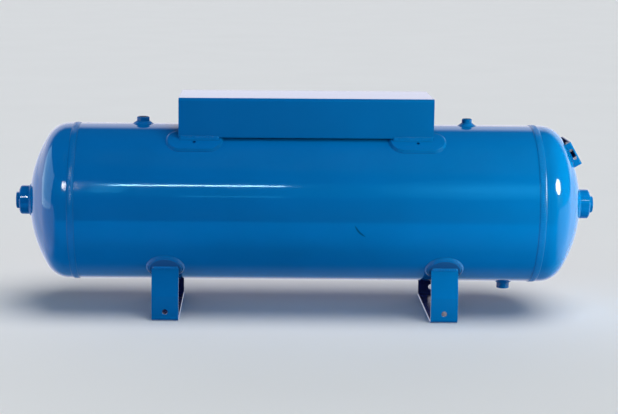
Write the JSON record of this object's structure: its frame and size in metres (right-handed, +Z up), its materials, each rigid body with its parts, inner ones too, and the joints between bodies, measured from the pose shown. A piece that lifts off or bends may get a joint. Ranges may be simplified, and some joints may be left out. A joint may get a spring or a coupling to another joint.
{
  "type": "horizontal compressed air tank",
  "caption": "Horizontal welded compressed air tank with dished heads, capped end sockets, threaded ports, a folded top platform and bent strap feet.",
  "frame": {"origin": "floor level, under the middle of the tank", "axes": "+X along the tank towards the head with the nameplate bracket, +Y to the rear, +Z up"},
  "size_m": [1.5038, 0.41, 0.5656],
  "materials": {
    "shell_paint": "glossy blue enamel on rolled steel",
    "head_paint": "glossy blue enamel on pressed steel",
    "weld_paint": "glossy blue enamel over rippled weld beads",
    "fitting_paint": "glossy blue enamel on turned steel",
    "plate_paint": "glossy blue enamel on bent plate"
  },
  "bodies": {
    "root": {"shell": "shell_paint", "left_head": "head_paint", "right_head": "head_paint", "left_girth_weld": "weld_paint", "right_girth_weld": "weld_paint", "left_end_socket": "fitting_paint", "right_end_socket": "fitting_paint", "left_end_plug": "fitting_paint", "right_end_plug": "fitting_paint", "left_end_weld": "weld_paint", "right_end_weld": "weld_paint", "left_top_port": "fitting_paint", "right_top_port": "fitting_paint", "drain_port": "fitting_paint", "left_port_weld": "weld_paint", "right_port_weld": "weld_paint", "drain_weld": "weld_paint", "platform": "plate_paint", "front_left_platform_pad": "plate_paint", "front_right_platform_pad": "plate_paint", "rear_left_platform_pad": "plate_paint", "rear_right_platform_pad": "plate_paint", "front_left_platform_weld": "weld_paint", "front_right_platform_weld": "weld_paint", "rear_left_platform_weld": "weld_paint", "rear_right_platform_weld": "weld_paint", "front_left_foot_pad": "plate_paint", "front_right_foot_pad": "plate_paint", "rear_left_foot_pad": "plate_paint", "rear_right_foot_pad": "plate_paint", "left_foot": "plate_paint", "right_foot": "plate_paint", "front_left_leg_weld": "weld_paint", "front_right_leg_weld": "weld_paint", "rear_left_leg_weld": "weld_paint", "rear_right_leg_weld": "weld_paint", "nameplate_bracket": "plate_paint"}
  },
  "joints": []
}
